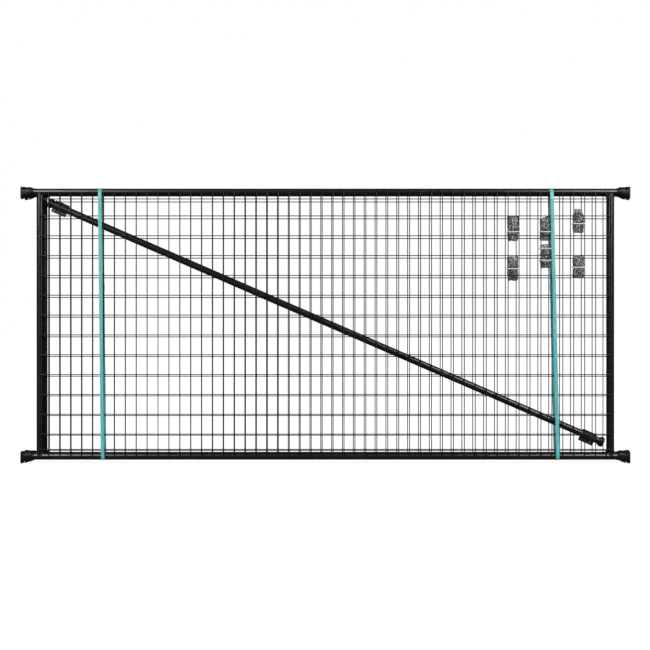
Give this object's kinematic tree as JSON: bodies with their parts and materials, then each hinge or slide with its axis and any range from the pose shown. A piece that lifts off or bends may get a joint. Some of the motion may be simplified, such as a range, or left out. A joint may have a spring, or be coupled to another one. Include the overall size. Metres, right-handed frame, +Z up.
{
  "type": "livestock panel gate",
  "caption": "Two wire-filled livestock gate panels strapped face to back, with a diagonal brace tube, clamps and bagged fittings held between their meshes.",
  "frame": {"origin": "middle of the pack's footprint, on the plane that its bottom end cups stand on", "axes": "+X along the rails to the right as seen from the front, +Y through the pack from the front panel to the back panel, +Z up"},
  "size_m": [2.964, 0.0944, 1.3438],
  "materials": {
    "frame_tube": "satin black powder coat",
    "weld": "satin black powder coat over weld",
    "mesh_wire": "satin black powder coat",
    "end_cup": "satin black powder coat",
    "brace_tube": "satin black powder coat",
    "brace_foot": "satin black powder coat",
    "clamp_plate": "dull dark grey coat",
    "clamp_hardware": "black zinc",
    "strap": "ribbed teal polyester strap",
    "strap_seal": "friction-welded overlap",
    "bag_film": "clear crinkled polyethylene film",
    "bagged_fittings": "black zinc",
    "bag_tie": "white tape"
  },
  "bodies": {
    "back_panel": {"back_bottom_left_cup": "end_cup", "back_bottom_rail": "frame_tube", "back_bottom_right_cup": "end_cup", "back_cross_wires": "mesh_wire", "back_left_upright": "frame_tube", "back_right_upright": "frame_tube", "back_top_left_cup": "end_cup", "back_top_rail": "frame_tube", "back_top_right_cup": "end_cup", "back_vertical_wires": "mesh_wire", "back_welds": "weld"},
    "front_panel": {"bag_1": "bag_film", "bag_1_fittings": "bagged_fittings", "bag_1_tie": "bag_tie", "bag_2": "bag_film", "bag_2_fittings": "bagged_fittings", "bag_2_tie": "bag_tie", "bag_3": "bag_film", "bag_3_fittings": "bagged_fittings", "bag_3_tie": "bag_tie", "bag_4": "bag_film", "bag_4_fittings": "bagged_fittings", "bag_4_tie": "bag_tie", "bag_5": "bag_film", "bag_5_fittings": "bagged_fittings", "bag_5_tie": "bag_tie", "bag_6": "bag_film", "bag_6_fittings": "bagged_fittings", "bag_6_tie": "bag_tie", "front_bottom_left_cup": "end_cup", "front_bottom_rail": "frame_tube", "front_bottom_right_cup": "end_cup", "front_cross_wires": "mesh_wire", "front_left_upright": "frame_tube", "front_right_upright": "frame_tube", "front_top_left_cup": "end_cup", "front_top_rail": "frame_tube", "front_top_right_cup": "end_cup", "front_vertical_wires": "mesh_wire", "front_welds": "weld"},
    "brace": {"brace_lower_foot": "brace_foot", "brace_tube": "brace_tube", "brace_upper_foot": "brace_foot"},
    "upper_clamp": {"upper_clamp_back_half": "clamp_plate", "upper_clamp_bolts": "clamp_hardware", "upper_clamp_front_half": "clamp_plate", "upper_clamp_nuts": "clamp_hardware"},
    "lower_clamp": {"lower_clamp_back_half": "clamp_plate", "lower_clamp_bolts": "clamp_hardware", "lower_clamp_front_half": "clamp_plate", "lower_clamp_nuts": "clamp_hardware"},
    "left_strap": {"left_strap": "strap", "left_strap_seal": "strap_seal"},
    "right_strap": {"right_strap": "strap", "right_strap_seal": "strap_seal"}
  },
  "joints": [
    {"name": "front_panel_slide", "type": "slide", "parent": "back_panel", "child": "front_panel", "axis": [1, 0, 0], "range_m": [-0.15, 0.15]},
    {"name": "brace_slide", "type": "slide", "parent": "front_panel", "child": "brace", "axis": [0.9175, 0, -0.3978], "range_m": [-0.012, 0.006]},
    {"name": "upper_clamp_slide", "type": "slide", "parent": "brace", "child": "upper_clamp", "axis": [0.9175, 0, -0.3978], "range_m": [0, 0.25]},
    {"name": "lower_clamp_slide", "type": "slide", "parent": "brace", "child": "lower_clamp", "axis": [-0.9175, 0, 0.3978], "range_m": [0, 0.25]},
    {"name": "left_strap_slide", "type": "slide", "parent": "back_panel", "child": "left_strap", "axis": [1, 0, 0], "range_m": [-0.1, 0.1]},
    {"name": "right_strap_slide", "type": "slide", "parent": "back_panel", "child": "right_strap", "axis": [1, 0, 0], "range_m": [-0.1, 0.1]}
  ]
}
